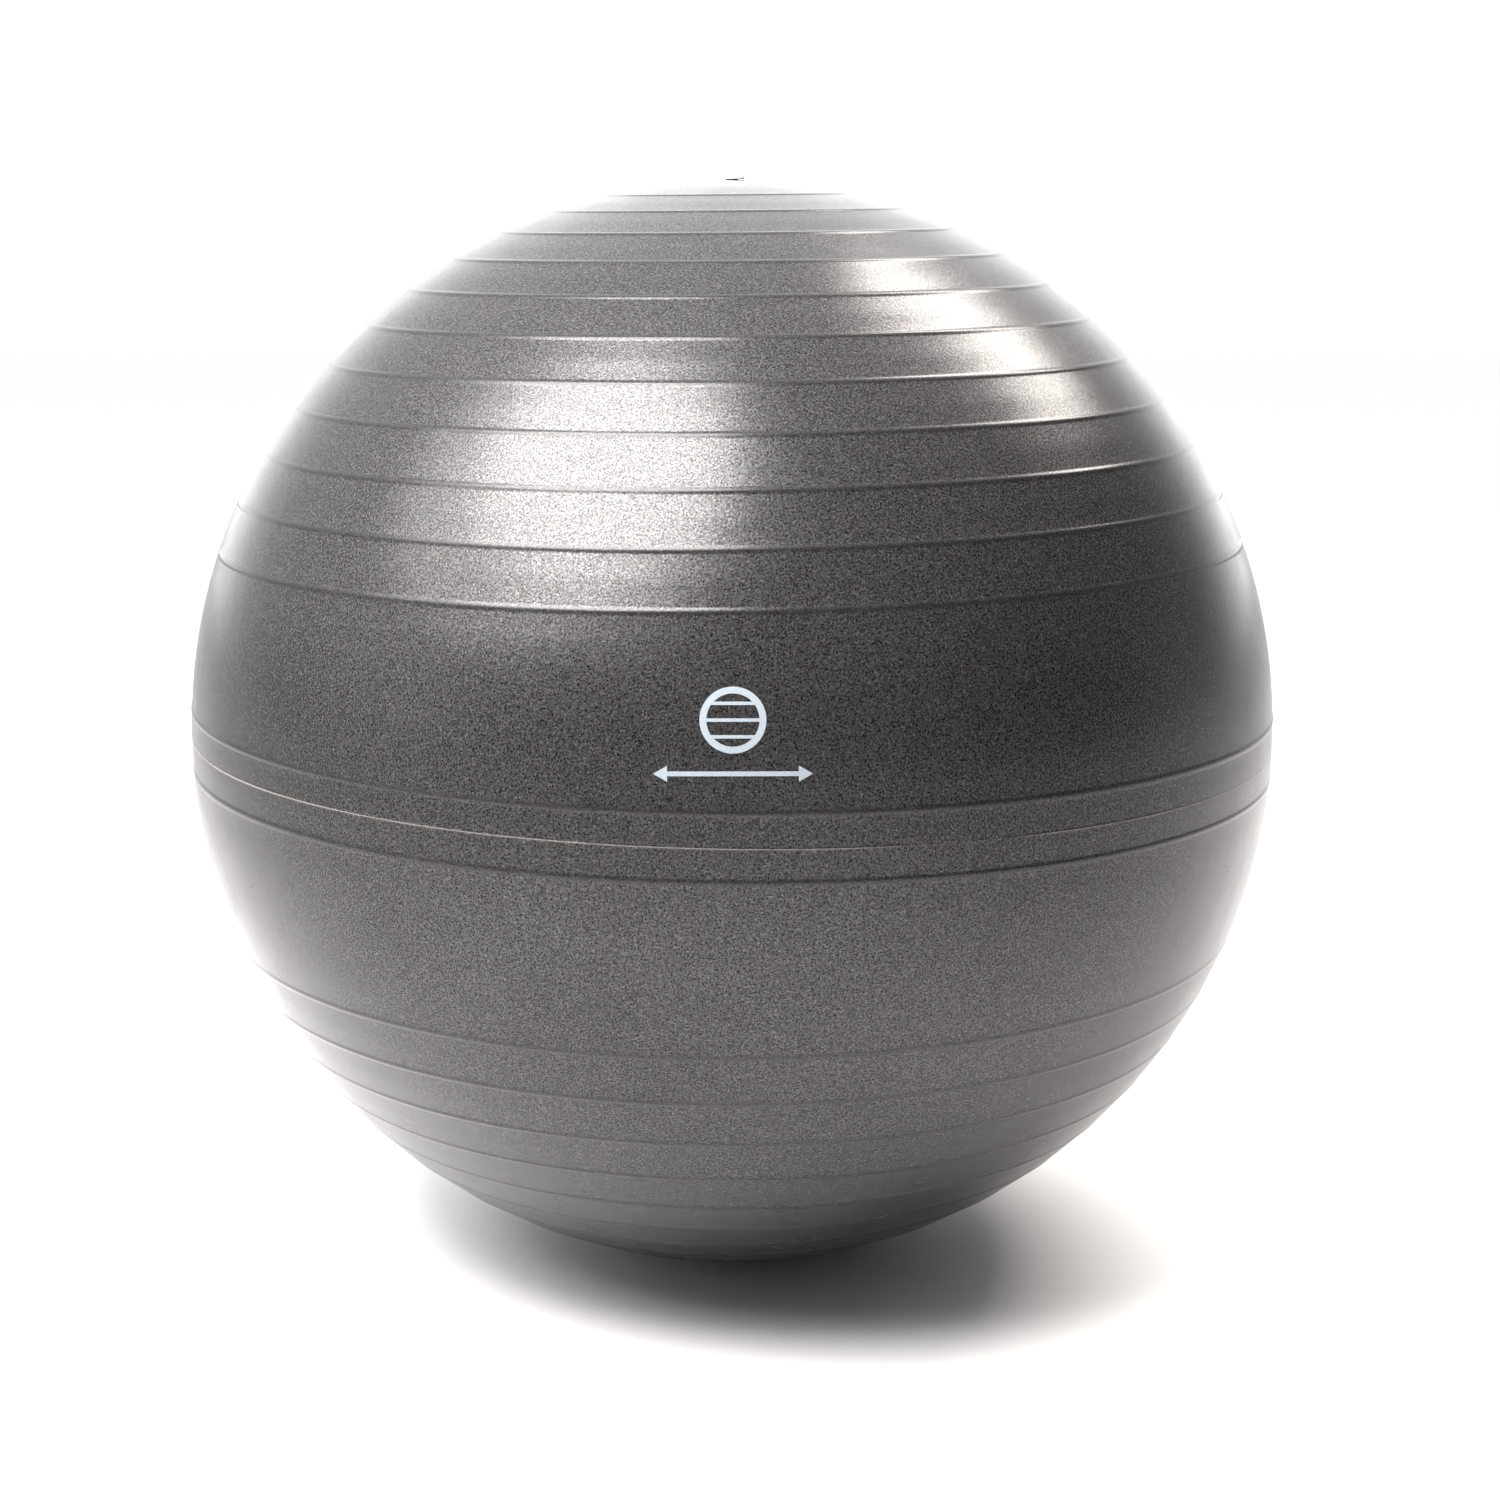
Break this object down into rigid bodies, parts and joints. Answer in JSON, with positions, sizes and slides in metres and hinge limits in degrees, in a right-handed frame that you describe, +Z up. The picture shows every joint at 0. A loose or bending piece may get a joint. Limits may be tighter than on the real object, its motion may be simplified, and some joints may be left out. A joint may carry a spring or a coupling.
{
  "type": "exercise ball",
  "caption": "Inflated PVC exercise ball with moulded grip ribs round its axis, a push-in valve plug at the top and a plain printed mark; for sitting, balance and stretching exercises.",
  "frame": {"origin": "middle of the flat patch that rests on the floor, on the ball's axis", "axes": "+Z up along the axis through both poles and the valve, -Y towards the printed mark, +X to the right of the mark"},
  "size_m": [0.6508, 0.6508, 0.6524],
  "materials": {
    "ball_skin": "satin",
    "valve_body": "satin",
    "plug_white": "satin",
    "mark_ink": "satin"
  },
  "bodies": {
    "ball": {"ball_shell": "ball_skin", "valve_insert": "valve_body", "printed_mark": "mark_ink"},
    "plug": {"valve_plug": "plug_white"}
  },
  "joints": [
    {"name": "plug_pull", "type": "slide", "parent": "ball", "child": "plug", "axis": [0, 0, 1], "range_m": [0, 0.03]}
  ]
}
